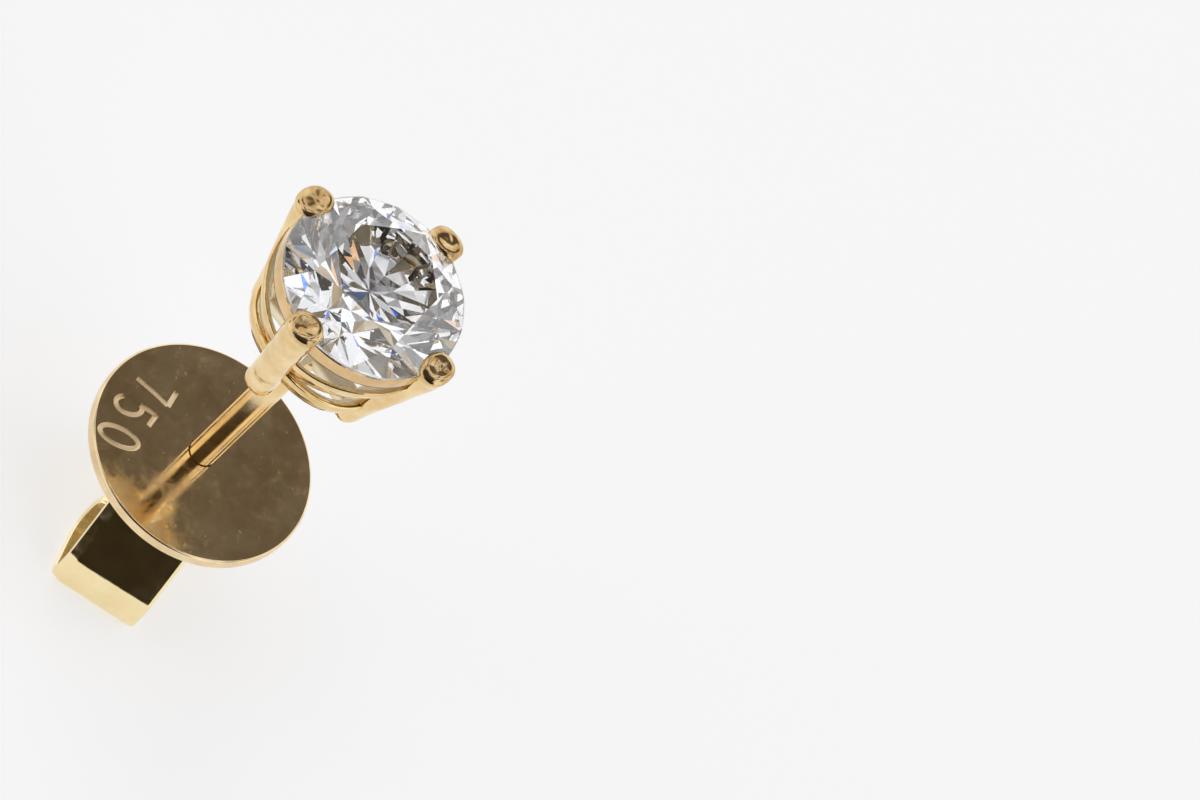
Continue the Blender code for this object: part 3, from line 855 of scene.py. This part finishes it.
def sky():
    """A soft white tent, open and dark around the camera, dim opposite it, with a few small cards."""
    toward = view_axes()[2]
    front = Vector((toward.x, toward.y, 0.0)).normalized()
    world = bpy.data.worlds.new("studio")
    world.use_nodes = True
    bpy.context.scene.world = world
    graph = Graph(world.node_tree)
    background = world.node_tree.nodes["Background"]
    place = graph.node("ShaderNodeTexCoord").outputs["Generated"]
    under = None
    for azimuth, elevation, outer, inner, light in SKY_PATCHES:
        level = Matrix.Rotation(math.radians(azimuth), 3, "Z") @ front
        lift = math.radians(elevation)
        centre = level * math.cos(lift) + Vector((0.0, 0.0, math.sin(lift)))
        along = graph.node("ShaderNodeVectorMath", operation="DOT_PRODUCT")
        along.inputs[1].default_value = centre
        graph.put(place, along.inputs[0])
        share = graph.node("ShaderNodeMapRange", interpolation_type="SMOOTHSTEP")
        share.inputs["From Min"].default_value = math.cos(math.radians(outer))
        share.inputs["From Max"].default_value = math.cos(math.radians(inner))
        graph.put(along.outputs["Value"], share.inputs["Value"])
        under = graph.mix(share.outputs["Result"], TENT_LIGHT, light, under)
    graph.put(under, background.inputs["Color"])
    background.inputs["Strength"].default_value = 1.0


def make_floor():
    """A round pale floor, wide enough to reach the horizon."""
    bm = bmesh.new()
    bmesh.ops.create_circle(bm, cap_ends=True, segments=64, radius=FLOOR_RADIUS)
    bm.transform(Matrix.Translation((0.0, 0.0, -FRONT_Z)))
    floor = finish_mesh(bm, "floor", floor_material())


# Build. Each gold has its name, light and dark colour, roughness from and to, the depth and scale of its
# waves and the depth of its scratches.
setting_gold = gold("setting_gold", (0.90, 0.69, 0.36), (0.70, 0.48, 0.20), (0.03, 0.12), 0.038, 1.7, 0.0015)
prong_gold = gold(
    "prong_gold", (0.96, 0.76, 0.42), (0.80, 0.57, 0.26), (0.03, 0.15), 0.030, 1.5, 0.0015, tip_rough_and_shade=0.07,
)
post_gold = gold(
    "post_gold", (0.96, 0.74, 0.41), (0.88, 0.63, 0.31), (0.07, 0.20), 0.006, 1.2, 0.0012, grain=(1, 1, 0.15),
)
disc_gold = gold(
    "disc_gold", (0.93, 0.74, 0.45), (0.74, 0.55, 0.31), (0.02, 0.26), 0.0015, 0.9, 0.0003, specks=0.14,
)
wing_gold = gold("wing_gold", (1.00, 0.85, 0.51), (0.94, 0.76, 0.43), (0.03, 0.10), 0.004, 0.9, 0.0006)
engraved_gold = gold("engraved_gold", (0.95, 0.79, 0.55), (0.86, 0.68, 0.43), (0.45, 0.60), 0.002, 2.0, 0.002)
# Painted shade: a darker copy of the gold for the seat ring
seat_painted_shade_gold = gold("seat_painted_shade_gold", (0.82, 0.58, 0.30), (0.62, 0.40, 0.17), (0.08, 0.24), 0.030, 1.9, 0.0015)
# Painted light: a paler copy of the gold, satin rough, for the shaded insides of the basket and for the
# bridge under the stone
satin_painted_light_gold = gold("satin_painted_light_gold", (0.99, 0.91, 0.72), (0.95, 0.83, 0.60), (0.50, 0.62), 0.020, 2.5, 0.0030)
# Painted light: a paler, rougher copy of the wing gold for the shaded insides of the wings' loops
inside_painted_light_gold = gold("inside_painted_light_gold", (0.93, 0.86, 0.66), (0.88, 0.78, 0.54), (0.22, 0.35), 0.004, 0.9, 0.0006)
stone_material = diamond()

stone = make_stone(stone_material)
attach(stone, "earring")
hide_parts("stone")

head = [make_prong(index, prong_gold) for index in range(PRONG_COUNT)]
head.append(make_seat(seat_painted_shade_gold))
for rail in GALLERY_RAILS:
    head.append(make_rail(*rail, setting_gold))
# The bridge gets the paler gold with painted light
head.append(make_bridge(satin_painted_light_gold))
head.append(make_post(post_gold))
for piece in head:
    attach(piece, "earring")
    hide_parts("setting")

for piece in (make_disc(disc_gold), make_strip(wing_gold)):
    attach(piece, "clutch")
    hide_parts("clutch")

make_floor()
sky()
place_camera()
bpy.context.scene.view_settings.view_transform = "Standard"
bpy.context.scene.cycles.max_bounces = 18
bpy.context.scene.cycles.transmission_bounces = 18
bpy.context.scene.cycles.glossy_bounces = 10
